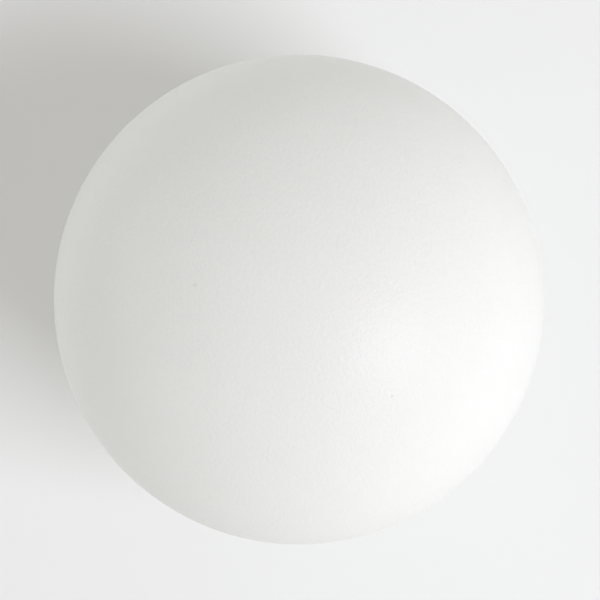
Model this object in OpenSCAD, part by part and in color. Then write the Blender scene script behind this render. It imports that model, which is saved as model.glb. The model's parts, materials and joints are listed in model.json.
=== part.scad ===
// Cue ball for a pool table that returns the cue ball with a magnet.
//
// Three perforated steel hoops, one inside the other and square to each other, are cast into a
// filled resin core. A white resin cover is then cast over the core and ground to a true sphere.
// Some part of a hoop is always near the surface, so the table's magnet pulls the cue ball aside
// whichever way it rolls past. The hoops share the ball's centre, so the ball stays in balance.
//
// Origin at the centre of the ball, +Z up, sizes in millimetres.

/* [Ball] */
// Diameter of the finished ball
ball_d = 57.15; // [47.6:0.05:68]
// Wall of the white cover, from the finished surface to the core
cover_t = 4.5; // [3:0.25:6]

/* [Steel hoops] */
// Width of each hoop, along its own axis
hoop_w = 6; // [4:0.5:7]
// Thickness of the strip that the hoops are rolled from
hoop_t = 1.2; // [0.8:0.1:1.6]
// Broken edge left on the strip by tumbling
hoop_chamfer = 0.15; // [0.05:0.05:0.25]
// Resin of the core between the edge of the outer hoop and the cover
hoop_depth = 0.6; // [0.3:0.1:2]
// Resin between one hoop's edge and the hoop outside it, where they cross
hoop_gap = 0.1; // [0.05:0.05:0.5]

/* [Lock holes] */
// Diameter of the holes through which the core's resin grips a hoop
lock_hole_d = 2.8; // [1.5:0.1:2.8]
// Holes in each quarter of a hoop, between two crossings
holes_per_quarter = 4; // [1:1:4]

/* [Hidden] */

$fn = 160;

ball_r = ball_d / 2;
core_r = ball_r - cover_t;

// How far a cutter runs past the strip, so that no two faces coincide
cutter_overrun = 0.5;

// The turn that takes a hoop from lying around Z to its own plane, from the outermost inwards
HOOP_TURNS = [[0, 0, 0], [0, 90, 0], [90, 0, 0]];

// Radius of a hoop's outer face when its two edges reach radius edge_r from the ball's centre
function face_r(edge_r) = sqrt(pow(edge_r, 2) - pow(hoop_w / 2, 2));

// Outer face of hoop i: the first fits inside the core, each further one inside the one before
function hoop_r(i) = face_r(i == 0 ? core_r - hoop_depth : hoop_r(i - 1) - hoop_t - hoop_gap);

// Half of the arc that a crossing hoop covers on hoop i, in degrees
function crossing_angle(i) = asin(hoop_w / 2 / hoop_r(i));

// Where lock hole k of a quarter lies: the holes share the free arc between two crossings evenly
function hole_angle(i, k) =
    crossing_angle(i) + k * (90 - 2 * crossing_angle(i)) / (holes_per_quarter + 1);

// The strip in section, standing at the radius of hoop i, with its four edges broken
module strip_section(i) {
    outer = hoop_r(i);
    inner = outer - hoop_t;
    half = hoop_w / 2;
    polygon([
        [inner + hoop_chamfer, -half],
        [outer - hoop_chamfer, -half],
        [outer, -half + hoop_chamfer],
        [outer, half - hoop_chamfer],
        [outer - hoop_chamfer, half],
        [inner + hoop_chamfer, half],
        [inner, half - hoop_chamfer],
        [inner, -half + hoop_chamfer]
    ]);
}

// The cutters for every lock hole of hoop i, each pointing outwards through the strip
module lock_holes(i) {
    inner = hoop_r(i) - hoop_t;
    for (quarter = [0:3], k = [1:holes_per_quarter])
        rotate([0, 0, 90 * quarter + hole_angle(i, k)])
            translate([inner - cutter_overrun, 0, 0])
                rotate([0, 90, 0])
                    cylinder(d = lock_hole_d, h = hoop_t + 2 * cutter_overrun);
}

// Hoop i, counted from the outside, turned into its own plane
module hoop(i) {
    rotate(HOOP_TURNS[i])
        difference() {
            rotate_extrude() strip_section(i);
            lock_holes(i);
        }
}

// The white outside of the ball: an even wall, cast over the core without a seam
module cover() {
    color("ivory")
        difference() {
            sphere(r = ball_r);
            sphere(r = core_r);
        }
}

// The filled resin inside the cover, which fills the lock holes and holds the hoops
module core() {
    color("darkkhaki")
        difference() {
            sphere(r = core_r);
            hoop(0);
            hoop(1);
            hoop(2);
        }
}

module outer_hoop() {
    color("silver") hoop(0);
}

module middle_hoop() {
    color("silver") hoop(1);
}

module inner_hoop() {
    color("silver") hoop(2);
}

cover();
core();
outer_hoop();
middle_hoop();
inner_hoop();
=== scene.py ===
# %% [markdown]
# # A cue ball
#
# This cue ball is modelled as one for a table that returns it with a magnet. Inside it, three
# perforated steel hoops stand square to each other in a filled resin core, and a white resin cover
# closes over the core. That inside is a guess, because only the cover shows. So nearly all the
# looks are in one smooth white skin, where the light matters as much as the material.
#
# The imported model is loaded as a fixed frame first. All sizes below come from it or are named
# here in metres, with MM to turn millimetres into metres.

import json
import math

import bpy
from mathutils import Matrix, Vector

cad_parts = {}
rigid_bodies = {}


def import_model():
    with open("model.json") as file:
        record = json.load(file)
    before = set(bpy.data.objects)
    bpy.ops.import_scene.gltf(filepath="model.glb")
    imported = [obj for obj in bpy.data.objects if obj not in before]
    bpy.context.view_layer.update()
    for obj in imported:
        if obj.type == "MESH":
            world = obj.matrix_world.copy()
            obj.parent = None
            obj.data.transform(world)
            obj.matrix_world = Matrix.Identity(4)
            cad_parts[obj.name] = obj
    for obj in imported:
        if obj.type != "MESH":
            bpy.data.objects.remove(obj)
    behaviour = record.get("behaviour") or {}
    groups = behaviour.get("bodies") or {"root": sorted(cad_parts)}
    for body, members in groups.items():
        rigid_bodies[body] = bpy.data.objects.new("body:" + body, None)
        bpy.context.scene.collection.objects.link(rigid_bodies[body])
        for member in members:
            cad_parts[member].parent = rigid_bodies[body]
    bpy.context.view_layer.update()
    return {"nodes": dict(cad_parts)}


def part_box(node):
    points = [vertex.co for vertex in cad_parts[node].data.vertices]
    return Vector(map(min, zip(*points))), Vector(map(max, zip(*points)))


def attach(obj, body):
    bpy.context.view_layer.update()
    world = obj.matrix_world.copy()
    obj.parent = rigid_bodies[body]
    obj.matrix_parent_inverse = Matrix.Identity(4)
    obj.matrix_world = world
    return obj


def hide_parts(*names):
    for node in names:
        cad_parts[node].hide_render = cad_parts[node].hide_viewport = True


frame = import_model()

MM = 0.001
BALL_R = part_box("cover")[1].z
CORE_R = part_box("core")[1].z
COVER_T = BALL_R - CORE_R
print(f"ball {BALL_R / MM:.3f} mm in radius, cover {COVER_T / MM:.2f} mm thick")

# %% [markdown]
# ## Small helpers
#
# A direction is easiest to think of as a bearing round the ball and a height above the table, so
# one function turns these two angles into a vector. Colours are picked as sRGB hex values, as a
# painter's chart gives them, and one function turns them into the linear values that the shader
# works in. The others build a material: one starts it, one adds a node with its settings and its
# links, one mixes two colours, and one closes the material with an output.


# %% Helpers for directions, colours and nodes
def direction(bearing, height):
    """The unit vector at a bearing, anticlockwise from +X, and a height above the table, in degrees."""
    level = math.cos(math.radians(height))
    return Vector((
        level * math.cos(math.radians(bearing)),
        level * math.sin(math.radians(bearing)),
        math.sin(math.radians(height)),
    ))


def linear(colour):
    """The linear RGBA of an sRGB hex colour such as #f2f2ee."""
    shares = [int(colour[i:i + 2], 16) / 255 for i in (1, 3, 5)]
    return (*[s / 12.92 if s <= 0.04045 else ((s + 0.055) / 1.055) ** 2.4 for s in shares], 1)


def add_node(material, kind, settings=None, links=None):
    """Adds a node. A setting is a property or an input, and a link joins an output to an input."""
    node = material.node_tree.nodes.new(kind)
    for name, value in (settings or {}).items():
        if hasattr(node, str(name)):
            setattr(node, name, value)
        else:
            node.inputs[name].default_value = value
    for name, output in (links or {}).items():
        material.node_tree.links.new(output, node.inputs[name])
    return node


def new_material(name):
    """An empty material with an output node, and the Object coordinates that its patterns read."""
    material = bpy.data.materials.new(name)
    material.use_nodes = True
    material.node_tree.nodes.clear()
    coordinates = add_node(material, "ShaderNodeTexCoord")
    return material, coordinates.outputs["Object"]


def mix_colours(material, share, first, second):
    """Two colours mixed by a share from 0 to 1. A colour is a hex value or another node's output."""
    mix = add_node(material, "ShaderNodeMix", {"data_type": "RGBA"})
    sockets = {socket.identifier: socket for socket in mix.inputs}
    for end, colour in (("A_Color", first), ("B_Color", second)):
        if isinstance(colour, str):
            sockets[end].default_value = linear(colour)
        else:
            material.node_tree.links.new(colour, sockets[end])
    material.node_tree.links.new(share, sockets["Factor_Float"])
    return next(socket for socket in mix.outputs if socket.identifier == "Result_Color")


def finish_material(material, shader):
    """Joins the shader to the material's output."""
    add_node(material, "ShaderNodeOutputMaterial", links={"Surface": shader.outputs["BSDF"]})
    print("material", material.name, "with", len(material.node_tree.nodes), "nodes")
    return material


# %% [markdown]
# ## The camera
#
# The ball is seen from straight above, which hides the table's edge and leaves only a disc, a
# shadow and the light. The lens is a short telephoto, as for close-ups of small things. Its focal
# length follows from how much of the picture the ball fills: a sphere seen from distance D has an
# outline whose half angle has a sine of R / D.

# %% Camera
CAMERA_HEIGHT = 0.18
OUTLINE_SHARE = 0.8165
SENSOR_WIDTH = 36
FRAMING_SHIFT = (0.0019, -0.0008)

outline_slope = math.tan(math.asin(BALL_R / CAMERA_HEIGHT))
camera_data = bpy.data.cameras.new("overhead_camera")
camera_data.sensor_width = SENSOR_WIDTH
camera_data.lens = SENSOR_WIDTH / 2 / (outline_slope / OUTLINE_SHARE)
camera_data.shift_x, camera_data.shift_y = FRAMING_SHIFT
camera_data.clip_start = 10 * MM
camera = bpy.data.objects.new("overhead_camera", camera_data)
camera.location = (0, 0, CAMERA_HEIGHT)
bpy.context.scene.collection.objects.link(camera)
bpy.context.scene.camera = camera
print(f"camera lens {camera_data.lens:.1f} mm")

# %% [markdown]
# ## The shape of the cover
#
# The cover is a hollow sphere with an even wall. A UV sphere is the quick way, but its faces crowd
# into two poles, where a gloss shows them as a star. An icosphere has no poles, but its triangles
# are harder to bevel cleanly. The way used here starts from a cube: every round halves all
# its edges and casts the points out onto the sphere, so the faces stay fairly even squares
# everywhere and there isn't a pole at all.


# %% Helper for a modifier
def apply_modifier(piece, kind, **settings):
    """Adds a modifier to a piece, sets it up and applies it."""
    bpy.context.view_layer.objects.active = piece
    bpy.ops.object.modifier_add(type=kind)
    modifier = piece.modifiers[-1]
    for name, value in settings.items():
        setattr(modifier, name, value)
    bpy.ops.object.modifier_apply(modifier=modifier.name)


# %% Even sphere from a cube
HALVINGS = 6

bpy.ops.object.select_all(action="DESELECT")
bpy.ops.mesh.primitive_cube_add(size=2 * BALL_R / math.sqrt(3))
cover = bpy.context.object
cover.name = "ball_cover"
for halving in range(HALVINGS):
    bpy.ops.object.mode_set(mode="EDIT")
    bpy.ops.mesh.select_all(action="SELECT")
    bpy.ops.mesh.subdivide(number_cuts=1)
    bpy.ops.object.mode_set(mode="OBJECT")
    apply_modifier(
        cover, "CAST", cast_type="SPHERE", factor=1, use_radius_as_size=False, size=BALL_R, radius=0
    )
print(f"cover has {len(cover.data.polygons)} squares")

# %% [markdown]
# ## The ground surface
#
# A cast and ground ball isn't a mathematical sphere. Grinding leaves shallow waves some
# millimetres long and a few thousandths high, far inside the tolerance of the rules of play, but
# they are what makes a soft reflection swim a little. They are real shape, so they are moved
# points, from a Displace modifier with a cloud texture. Its strength is tiny on purpose.

# %% Waves left by grinding
WAVE_LENGTH = 4.5 * MM
WAVE_HEIGHT = 0.006 * MM

waves = bpy.data.textures.new("grinding_waves", type="CLOUDS")
waves.noise_scale = WAVE_LENGTH
waves.noise_depth = 1
apply_modifier(
    cover, "DISPLACE", texture=waves, texture_coords="LOCAL", strength=WAVE_HEIGHT, mid_level=0.5
)
radii = [v.co.length for v in cover.data.vertices]
print(f"radius runs from {min(radii) / MM:.4f} to {max(radii) / MM:.4f} mm")

# %% [markdown]
# ## The wall
#
# The cover is a shell round the core, so it needs an inside as well. Solidify gives the sphere an
# even wall, measured inwards from the ground surface, and turns the new inner faces the right way
# round. It comes before the pinholes, so that they are opened in the outside only.

# %% Even wall
apply_modifier(cover, "SOLIDIFY", thickness=COVER_T, offset=-1)
print(f"cover wall {COVER_T / MM:.2f} mm, {len(cover.data.polygons)} faces")

# %% [markdown]
# ## Pinholes
#
# Two tiny dark specks sit in the skin. They are built as pinholes: air bubbles that the grinding
# just opened, which have caught some dirt. A dark dot in the material would do for a picture, but
# a hole is a shape. The nearest corner of the squares is slid to the pinhole's place. Bevelling it
# opens the corner where four squares meet into a small patch, which is dissolved into one face,
# and the points of that face are pushed out to a circle. Extruding it inwards, to about half its
# width, makes a shallow bowl. The bowl's faces are marked for a second material.

# %% Pinholes in the skin
PINHOLE_FLOOR = 0.55
PINHOLE_ARC_STEPS = 4
# bearing, height, radius, depth
PINHOLES = (
    (172, 68.1, 0.18 * MM, 0.04 * MM),
    (-46, 61.6, 0.14 * MM, 0.05 * MM),
)


def select_corner(piece, index):
    """Leaves one vertex of the piece selected, in edit mode."""
    bpy.ops.object.mode_set(mode="EDIT")
    bpy.ops.mesh.select_mode(type="VERT")
    bpy.ops.mesh.select_all(action="DESELECT")
    bpy.ops.object.mode_set(mode="OBJECT")
    piece.data.vertices[index].select = True
    bpy.ops.object.mode_set(mode="EDIT")


def round_off(piece, radius):
    """Moves the selected ring of vertices onto a circle round their middle."""
    bpy.ops.object.mode_set(mode="OBJECT")
    ring = [vertex for vertex in piece.data.vertices if vertex.select]
    middle = sum((vertex.co for vertex in ring), Vector()) / len(ring)
    for vertex in ring:
        vertex.co = middle + (vertex.co - middle).normalized() * radius
    bpy.ops.object.mode_set(mode="EDIT")


def drill_pinhole(piece, outward, radius, depth):
    """Opens a pinhole in the outside of the piece, and gives its faces material 1."""
    corner = max(piece.data.vertices, key=lambda vertex: vertex.co.dot(outward))
    corner.co = outward * corner.co.length
    select_corner(piece, corner.index)
    bpy.ops.mesh.bevel(
        affect="VERTICES", offset_type="OFFSET", offset=radius, segments=PINHOLE_ARC_STEPS
    )
    bpy.ops.mesh.select_mode(type="FACE")
    bpy.ops.mesh.dissolve_faces()
    round_off(piece, radius)
    bpy.ops.mesh.extrude_region_move(TRANSFORM_OT_translate={"value": outward * -depth})
    bpy.ops.transform.resize(value=(PINHOLE_FLOOR,) * 3)
    bpy.ops.mesh.select_more()
    bpy.ops.object.mode_set(mode="OBJECT")
    bowl = [face for face in piece.data.polygons if face.select]
    for face in bowl:
        face.material_index = 1
    print(f"pinhole of {len(bowl)} faces, {2 * radius / MM:.2f} mm wide")


for bearing, height, radius, depth in PINHOLES:
    drill_pinhole(cover, direction(bearing, height), radius, depth)

# %% [markdown]
# ## Shading
#
# The ball is smooth all over, apart from the rims of the pinholes, which shading by angle keeps
# crisp.

# %% Smooth shading with crisp pinholes
PINHOLE_EDGE_ANGLE = 25

bpy.ops.object.select_all(action="DESELECT")
cover.select_set(True)
bpy.ops.object.shade_smooth_by_angle(angle=math.radians(PINHOLE_EDGE_ANGLE))
print(f"cover done, {len(cover.data.polygons)} faces")

# %% [markdown]
# ## The cover's material: cast resin, satin ground
#
# White cast resin is clear resin filled with white pigment. Light enters it by a fraction of a
# millimetre and comes back scattered, so its shading is soft, with a trace of warmth. The skin was
# ground and tumbled but not polished: it has a fine orange peel, of dimples about half a
# millimetre across and one or two hundredths of a millimetre deep. On such a skin the reflection
# of a window is a broad glow that breaks up into grain along its edge. The shine is set weaker
# than the 0.5 of a clean flat face, because a stronger one draws the glow to the window's
# reflection. It is tuned for the look and isn't a measured value of the resin.
#
# The orange peel could be moved points, but at this grain it would take millions of them, so it
# is a bump from two noises: rounded dimples, and a finer grit between them.

# %% Satin cast resin
RESIN_COLOUR = "#eeeeec"
RESIN_SHADE = "#ebebe7"
DIMPLE = 0.4 * MM
GRIT = 0.2 * MM
MOTTLE = 7 * MM
DIMPLE_HEIGHT = 0.038 * MM
GRIT_HEIGHT = 0.006 * MM


def satin_cast_resin():
    """White pigmented resin with a satin skin and a fine orange peel."""
    resin, place = new_material("satin_cast_resin")
    mottle = add_node(
        resin, "ShaderNodeTexNoise",
        {"Scale": 1 / MOTTLE, "Detail": 3.0, "Roughness": 0.6}, {"Vector": place},
    )
    tone = mix_colours(resin, mottle.outputs["Fac"], RESIN_COLOUR, RESIN_SHADE)
    dimples = add_node(
        resin, "ShaderNodeTexNoise",
        {"Scale": 1 / DIMPLE, "Detail": 1.0, "Roughness": 0.5}, {"Vector": place},
    )
    grit = add_node(
        resin, "ShaderNodeTexNoise",
        {"Scale": 1 / GRIT, "Detail": 2.0, "Roughness": 0.5}, {"Vector": place},
    )
    grit_bump = add_node(
        resin, "ShaderNodeBump",
        {"Strength": 1.0, "Distance": GRIT_HEIGHT}, {"Height": grit.outputs["Fac"]},
    )
    peel = add_node(
        resin, "ShaderNodeBump",
        {"Strength": 1.0, "Distance": DIMPLE_HEIGHT},
        {"Height": dimples.outputs["Fac"], "Normal": grit_bump.outputs["Normal"]},
    )
    shader = add_node(
        resin, "ShaderNodeBsdfPrincipled",
        {
            "Roughness": 0.35,
            "IOR": 1.5,
            "Specular IOR Level": 0.15,
            "Subsurface Weight": 0.15,
            "Subsurface Radius": (1.0, 0.9, 0.75),
            "Subsurface Scale": 0.6 * MM,
        },
        {"Base Color": tone, "Normal": peel.outputs["Normal"]},
    )
    return finish_material(resin, shader)


cover.data.materials.append(satin_cast_resin())

# %% [markdown]
# ## The pinholes' material: dirt in the resin
#
# Chalk, cloth fluff and the grease of hands settle in an open pore and stay there. What is left is
# a thin dull film, pale grey with a little brown, thicker in one place than in another.

# %% Dirt in the pinholes
DIRT_THIN = "#efede7"
DIRT_THICK = "#e0ddd3"
DIRT_PATCH = 0.15 * MM


def dirty_resin():
    """Resin under an uneven dull film of dirt."""
    dirty, place = new_material("dirt_in_pinhole")
    film = add_node(
        dirty, "ShaderNodeTexNoise", {"Scale": 1 / DIRT_PATCH, "Detail": 2.0}, {"Vector": place}
    )
    colour = mix_colours(dirty, film.outputs["Fac"], DIRT_THIN, DIRT_THICK)
    shader = add_node(
        dirty, "ShaderNodeBsdfPrincipled", {"Roughness": 0.85, "IOR": 1.45}, {"Base Color": colour}
    )
    return finish_material(dirty, shader)


cover.data.materials.append(dirty_resin())

# %% [markdown]
# ## The core's material: mineral filled resin
#
# The core is the same kind of resin, but it has no pigment. It is loaded with ground limestone and
# barite to give the ball its weight, so it is a dull sand colour with pale and dark grains in it.
# Two Voronoi patterns give the grains, each with its own size, over a slow change of tone from
# the filler settling while the resin set.

# %% Mineral filled resin
FILLER_LIGHT = "#c9bd9f"
FILLER_DARK = "#a8997a"
PALE_GRAIN = "#e4dcc8"
DARK_GRAIN = "#6f6655"
PALE_GRAIN_SIZE = 0.8 * MM
DARK_GRAIN_SIZE = 1.3 * MM
SETTLING = 12 * MM
GRAIN_SHARE = 0.2
GRAIN_SOFT_EDGE = 0.06
CHIPS_PER_GRAIN = 3
CHIP_SHARE = 0.5
GRAIN_HEIGHT = 0.02 * MM


def grains(material, place, size):
    """A mask that is 1 inside scattered rough grains, spaced by size, and 0 between them."""
    cells = add_node(
        material, "ShaderNodeTexVoronoi", {"Scale": 1 / size, "Randomness": 1.0}, {"Vector": place}
    )
    chips = add_node(
        material, "ShaderNodeTexNoise", {"Scale": CHIPS_PER_GRAIN / size, "Detail": 2.0},
        {"Vector": place},
    )
    # MULTIPLY_ADD has numbered inputs: input 0 times input 1, plus input 2
    rough_distance = add_node(
        material, "ShaderNodeMath", {"operation": "MULTIPLY_ADD", 1: CHIP_SHARE},
        {0: chips.outputs["Fac"], 2: cells.outputs["Distance"]},
    )
    edge = GRAIN_SHARE + CHIP_SHARE / 2
    return add_node(
        material, "ShaderNodeMapRange",
        {"From Min": edge, "From Max": edge - GRAIN_SOFT_EDGE, "To Min": 0.0, "To Max": 1.0},
        {"Value": rough_distance.outputs["Value"]},
    ).outputs["Result"]


def mineral_filled_resin():
    """Dull sand-coloured resin with mineral grains."""
    filled, place = new_material("mineral_filled_resin")
    settling = add_node(
        filled, "ShaderNodeTexNoise", {"Scale": 1 / SETTLING, "Detail": 5.0}, {"Vector": place}
    )
    colour = mix_colours(filled, settling.outputs["Fac"], FILLER_LIGHT, FILLER_DARK)
    pale = grains(filled, place, PALE_GRAIN_SIZE)
    dark = grains(filled, place, DARK_GRAIN_SIZE)
    colour = mix_colours(filled, pale, colour, PALE_GRAIN)
    colour = mix_colours(filled, dark, colour, DARK_GRAIN)
    bump = add_node(
        filled, "ShaderNodeBump", {"Strength": 1.0, "Distance": GRAIN_HEIGHT}, {"Height": pale}
    )
    shader = add_node(
        filled, "ShaderNodeBsdfPrincipled", {"Roughness": 0.7, "IOR": 1.55},
        {"Base Color": colour, "Normal": bump.outputs["Normal"]},
    )
    return finish_material(filled, shader)


frame["nodes"]["core"].material_slots[0].material = mineral_filled_resin()

# %% [markdown]
# ## The hoops' material: cold rolled strip
#
# The hoops are rolled from cold rolled steel strip, welded and tumbled. The rolling leaves fine
# lines along the strip, which run round the hoop, and the tumbling scuffs them. A noise that is
# stretched hard along the strip gives the lines. Each hoop faces another way, so the same function
# is told which axis the hoop runs round, and squeezes the noise along that axis.

# %% Cold rolled strip steel
STEEL_BRIGHT = "#c3c5c7"
STEEL_DULL = "#8e9092"
LINE_SPACING = 0.09 * MM
LINE_LENGTH = 6 * MM
SCUFF = 1.3 * MM
LINE_HEIGHT = 0.002 * MM
# the part of the scuff noise that counts, and the roughness at its two ends
SCUFF_RANGE = (0.3, 0.7)
STEEL_ROUGHNESS = (0.28, 0.5)
HOOP_AXES = {"outer_hoop": 2, "middle_hoop": 0, "inner_hoop": 1}


def rolled_strip(name, axis):
    """Cold rolled steel whose lines run round one axis, 0 for X, 1 for Y or 2 for Z."""
    steel, place = new_material(name)
    squeeze = [1 / LINE_LENGTH] * 3
    squeeze[axis] = 1 / LINE_SPACING
    along = add_node(steel, "ShaderNodeMapping", {"Scale": squeeze}, {"Vector": place})
    lines = add_node(
        steel, "ShaderNodeTexNoise", {"Scale": 1.0, "Detail": 3.0},
        {"Vector": along.outputs["Vector"]},
    )
    scuffs = add_node(
        steel, "ShaderNodeTexNoise", {"Scale": 1 / SCUFF, "Detail": 6.0, "Roughness": 0.65},
        {"Vector": place},
    )
    colour = mix_colours(steel, scuffs.outputs["Fac"], STEEL_BRIGHT, STEEL_DULL)
    roughness = add_node(
        steel, "ShaderNodeMapRange",
        {
            "From Min": SCUFF_RANGE[0],
            "From Max": SCUFF_RANGE[1],
            "To Min": STEEL_ROUGHNESS[0],
            "To Max": STEEL_ROUGHNESS[1],
        },
        {"Value": scuffs.outputs["Fac"]},
    )
    bump = add_node(
        steel, "ShaderNodeBump", {"Strength": 1.0, "Distance": LINE_HEIGHT},
        {"Height": lines.outputs["Fac"]},
    )
    shader = add_node(
        steel, "ShaderNodeBsdfPrincipled", {"Metallic": 1.0},
        {
            "Base Color": colour,
            "Roughness": roughness.outputs["Result"],
            "Normal": bump.outputs["Normal"],
        },
    )
    return finish_material(steel, shader)


for hoop, axis in HOOP_AXES.items():
    frame["nodes"][hoop].material_slots[0].material = rolled_strip(f"rolled_strip_{hoop}", axis)

# %% [markdown]
# ## The floor
#
# The ball lies on a plain pale board. It is a flat sheet of matt paint, and only its tone matters:
# it throws light back up at the underside of the ball, and it takes the ball's shadow.

# %% Floor
FLOOR_SIZE = 6
BOARD_COLOUR = "#f3f3f2"

bpy.ops.object.select_all(action="DESELECT")
bpy.ops.mesh.primitive_plane_add(size=FLOOR_SIZE, location=(0, 0, -BALL_R))
floor = bpy.context.object
floor.name = "pale_board"
board = new_material("matt_painted_board")[0]
board_shader = add_node(
    board, "ShaderNodeBsdfPrincipled",
    {"Base Color": linear(BOARD_COLOUR), "Roughness": 0.9, "Specular IOR Level": 0.1},
)
floor.data.materials.append(finish_material(board, board_shader))

# %% [markdown]
# ## The light
#
# One large soft window does the modelling, from the lower right and half way up the sky. Its size
# sets how wide the edge of the shadow is. Light off the sill below it comes in lower and moves the
# brightest place on the ball outwards. White walls all round fill the shadows: the world's even
# light stands for them, and low cards a good way off give the light that comes in from the sides.
# The room is a little warm and the window a little cool. Every light is aimed at the ball's
# centre. Its size is given as a share of its distance, which is how large it looks from the ball.

# %% Lights
WORLD_STRENGTH = 0.52
WORLD_COLOUR = "#fffcf8"
WINDOW_DISTANCE = 0.8
CARD_DISTANCE = 2.2
# name, distance, bearing, height, width share, height share, brightness, colour
LIGHTS = (
    ("window", WINDOW_DISTANCE, -28, 46, 0.57, 0.45, 7.4, "#f4f7ff"),
    ("sill", WINDOW_DISTANCE, -30, 22, 0.5, 0.3, 1.2, "#fffcfa"),
    ("left_card", CARD_DISTANCE, 160, 8, 0.9, 0.28, 2.4, "#f4ffff"),
    ("far_left_card", CARD_DISTANCE, 205, 8, 0.7, 0.28, 0.6, "#f0ffff"),
    ("back_card", CARD_DISTANCE, 75, 14, 1.0, 0.5, 0.5, "#f2fcff"),
)


def soft_light(name, distance, bearing, height, width_share, height_share, brightness, colour):
    """A rectangle that shines at the ball with an even brightness, and can't be seen itself."""
    towards = direction(bearing, height)
    data = bpy.data.lights.new(name, "AREA")
    data.shape = "RECTANGLE"
    data.size, data.size_y = width_share * distance, height_share * distance
    # a light's power is spread over its area, so this keeps the brightness at any size
    data.energy = brightness * math.pi * data.size * data.size_y
    data.color = linear(colour)[:3]
    light = bpy.data.objects.new(name, data)
    turn = towards.to_track_quat("Z", "Y").to_matrix().to_4x4()
    light.matrix_world = Matrix.Translation(towards * distance) @ turn
    light.visible_camera = False
    bpy.context.scene.collection.objects.link(light)
    return light


for settings in LIGHTS:
    print("light", soft_light(*settings).name)

world = bpy.data.worlds.new("white_room")
world.use_nodes = True
room = world.node_tree.nodes["Background"]
room.inputs["Color"].default_value = linear(WORLD_COLOUR)
room.inputs["Strength"].default_value = WORLD_STRENGTH
bpy.context.scene.world = world
bpy.context.scene.view_settings.view_transform = "Standard"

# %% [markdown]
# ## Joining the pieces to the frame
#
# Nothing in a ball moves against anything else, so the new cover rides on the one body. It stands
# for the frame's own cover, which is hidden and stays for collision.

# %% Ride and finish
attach(cover, "root")
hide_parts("cover")
